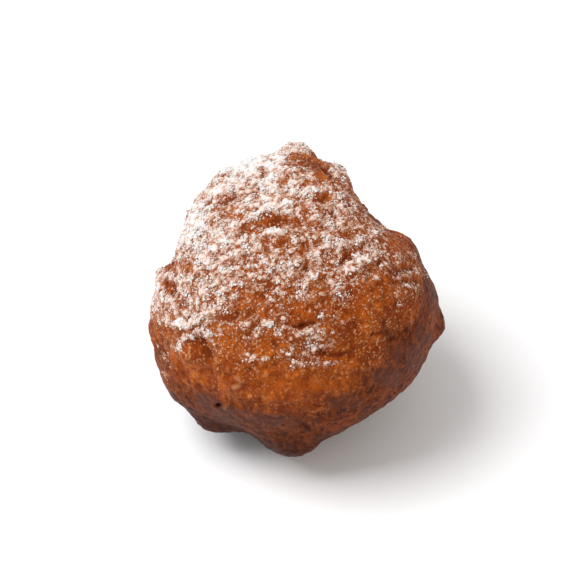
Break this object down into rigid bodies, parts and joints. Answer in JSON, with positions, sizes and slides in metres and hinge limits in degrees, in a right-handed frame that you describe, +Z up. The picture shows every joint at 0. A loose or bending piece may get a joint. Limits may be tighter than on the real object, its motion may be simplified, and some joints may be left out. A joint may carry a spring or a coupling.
{
  "type": "oliebol",
  "caption": "Deep-fried ball of yeasted dough with a lumpy brown crust and a dusting of powdered sugar, resting on a small flat spot.",
  "frame": {"origin": "on the surface the ball rests on, under the middle of its outline seen from above", "axes": "+Z up, +X to the right as the best side is seen, and the best side faces -Y"},
  "size_m": [0.0798, 0.0768, 0.0752],
  "materials": {
    "fried_crust": null,
    "powdered_sugar": null
  },
  "bodies": {
    "root": {"oliebol": "fried_crust"}
  },
  "joints": []
}
